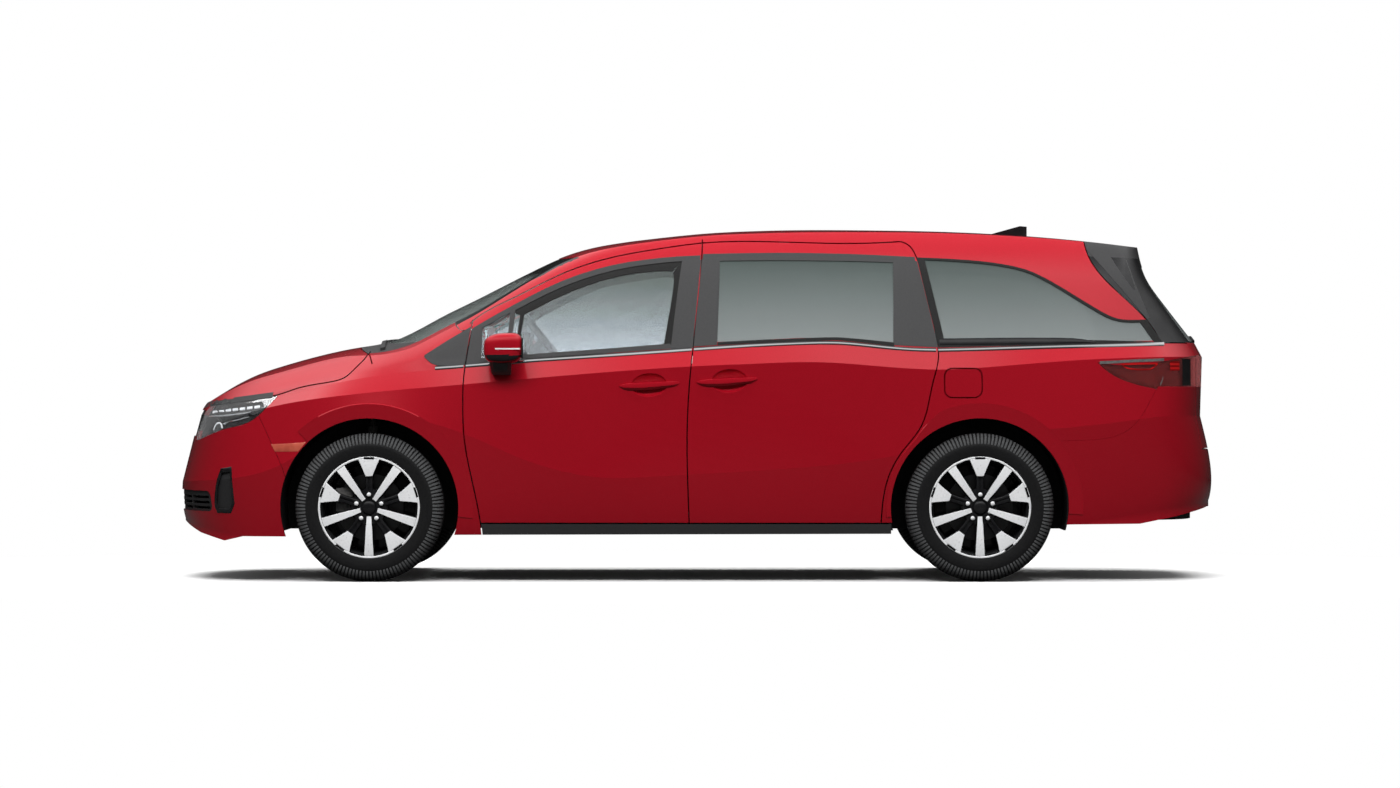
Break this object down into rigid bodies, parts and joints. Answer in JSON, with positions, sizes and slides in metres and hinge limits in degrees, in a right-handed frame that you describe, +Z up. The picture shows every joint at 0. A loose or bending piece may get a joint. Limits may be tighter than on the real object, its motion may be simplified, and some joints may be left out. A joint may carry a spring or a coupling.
{
  "type": "minivan",
  "caption": "Full-size family minivan with hinged front doors, sliding rear doors, opening hood and tailgate, steered front wheels and a furnished cabin.",
  "frame": {"origin": "on the ground, at the middle of the length and on the plane of symmetry", "axes": "the nose points to -X, +X is the tail, the car's left side is -Y, +Z is up; -Y faces the camera of the picture"},
  "size_m": [5.2129, 2.262, 1.781],
  "materials": {
    "body_paint": "gloss",
    "dark_glass": "gloss",
    "clear_glass": "gloss",
    "black_plastic": "satin",
    "gloss_black": "gloss",
    "lamp_clear": "gloss",
    "lamp_red": "gloss",
    "alloy": "satin",
    "tyre_rubber": "matte",
    "cast_metal": "matte",
    "underbody": "matte",
    "cabin_trim": "matte",
    "seat_cover": "satin"
  },
  "bodies": {
    "body": {"sliding_doors": "body_paint", "fenders": "body_paint", "front_bumper": "body_paint", "side_frame_left": "body_paint", "side_frame_right": "body_paint", "roof_panel": "body_paint", "rear_bumper": "body_paint", "sliding_door_handles": "body_paint", "sliding_door_glass": "dark_glass", "quarter_glass": "dark_glass", "windshield": "clear_glass", "cowl_panel": "black_plastic", "sill_trims": "black_plastic", "arch_liners": "black_plastic", "grilles": "black_plastic", "wipers": "black_plastic", "sail_panels": "gloss_black", "roof_fin": "gloss_black", "headlamps": "lamp_clear", "tail_lamps": "lamp_red", "engine_block": "cast_metal", "floor_pan": "underbody", "front_subframe": "underbody", "front_struts": "underbody", "rear_axle": "underbody", "radiator": "underbody", "dashboard": "cabin_trim", "console": "cabin_trim", "front_seats": "seat_cover", "rear_seats": "seat_cover"},
    "hood": {"hood": "body_paint"},
    "door_left": {"front_door_left": "body_paint", "front_door_glass_left": "clear_glass", "front_door_handle_left": "body_paint", "mirror_left": "body_paint"},
    "knuckle_left": {"knuckle_left": "cast_metal"},
    "door_right": {"front_door_right": "body_paint", "front_door_glass_right": "clear_glass", "front_door_handle_right": "body_paint", "mirror_right": "body_paint"},
    "knuckle_right": {"knuckle_right": "cast_metal"},
    "tailgate": {"tailgate": "body_paint", "tailgate_glass": "dark_glass", "spoiler": "gloss_black", "tailgate_lamps": "lamp_red", "rear_wiper": "black_plastic"},
    "fuel_flap": {"fuel_door": "body_paint"},
    "steering_wheel": {"steering_wheel": "cabin_trim"},
    "wheel_front_left": {"tyre_front_left": "tyre_rubber", "rim_front_left": "alloy", "brake_disc_front_left": "cast_metal"},
    "wheel_front_right": {"tyre_front_right": "tyre_rubber", "rim_front_right": "alloy", "brake_disc_front_right": "cast_metal"},
    "wheel_rear_left": {"tyre_rear_left": "tyre_rubber", "rim_rear_left": "alloy", "brake_disc_rear_left": "cast_metal"},
    "wheel_rear_right": {"tyre_rear_right": "tyre_rubber", "rim_rear_right": "alloy", "brake_disc_rear_right": "cast_metal"}
  },
  "joints": [
    {"name": "steer_left", "type": "hinge", "parent": "body", "child": "knuckle_left", "pos_m": [-1.6045, -0.78, 0.225], "axis": [0, 0.2081, 0.9781], "range_deg": [-33, 33]},
    {"name": "steer_right", "type": "hinge", "parent": "body", "child": "knuckle_right", "pos_m": [-1.6045, 0.78, 0.225], "axis": [0, -0.2081, 0.9781], "range_deg": [-33, 33]},
    {"name": "steering_wheel_turn", "type": "hinge", "parent": "body", "child": "steering_wheel", "pos_m": [-0.752, -0.39, 1.18], "axis": [0.7768, 0, 0.6298], "range_deg": [-462, 462]},
    {"name": "roll_front_left", "type": "hinge", "parent": "knuckle_left", "child": "wheel_front_left", "pos_m": [-1.6045, -0.855, 0.366], "axis": [0, 1, 0], "continuous": true},
    {"name": "roll_front_right", "type": "hinge", "parent": "knuckle_right", "child": "wheel_front_right", "pos_m": [-1.6045, 0.855, 0.366], "axis": [0, 1, 0], "continuous": true},
    {"name": "roll_rear_left", "type": "hinge", "parent": "body", "child": "wheel_rear_left", "pos_m": [1.3955, -0.855, 0.366], "axis": [0, 1, 0], "continuous": true},
    {"name": "roll_rear_right", "type": "hinge", "parent": "body", "child": "wheel_rear_right", "pos_m": [1.3955, 0.855, 0.366], "axis": [0, 1, 0], "continuous": true},
    {"name": "door_left_hinge", "type": "hinge", "parent": "body", "child": "door_left", "pos_m": [-1.138, -0.992, 0.8], "axis": [0, -0.0599, -0.9982], "range_deg": [0, 66]},
    {"name": "door_right_hinge", "type": "hinge", "parent": "body", "child": "door_right", "pos_m": [-1.138, 0.992, 0.8], "axis": [0, -0.0599, 0.9982], "range_deg": [0, 66]},
    {"name": "hood_hinge", "type": "hinge", "parent": "body", "child": "hood", "pos_m": [-1.57, 0, 1.155], "axis": [0, 1, 0], "range_deg": [0, 50]},
    {"name": "tailgate_hinge", "type": "hinge", "parent": "body", "child": "tailgate", "pos_m": [1.936, 0, 1.712], "axis": [0, -1, 0], "range_deg": [0, 80]},
    {"name": "fuel_door_hinge", "type": "hinge", "parent": "body", "child": "fuel_flap", "pos_m": [1.222, -0.985, 0.977], "axis": [0, 0, -1], "range_deg": [0, 85]}
  ],
  "couplings": [
    {"joint": "steer_right", "follows": "steer_left", "ratio": 1},
    {"joint": "steering_wheel_turn", "follows": "steer_left", "ratio": 14}
  ]
}
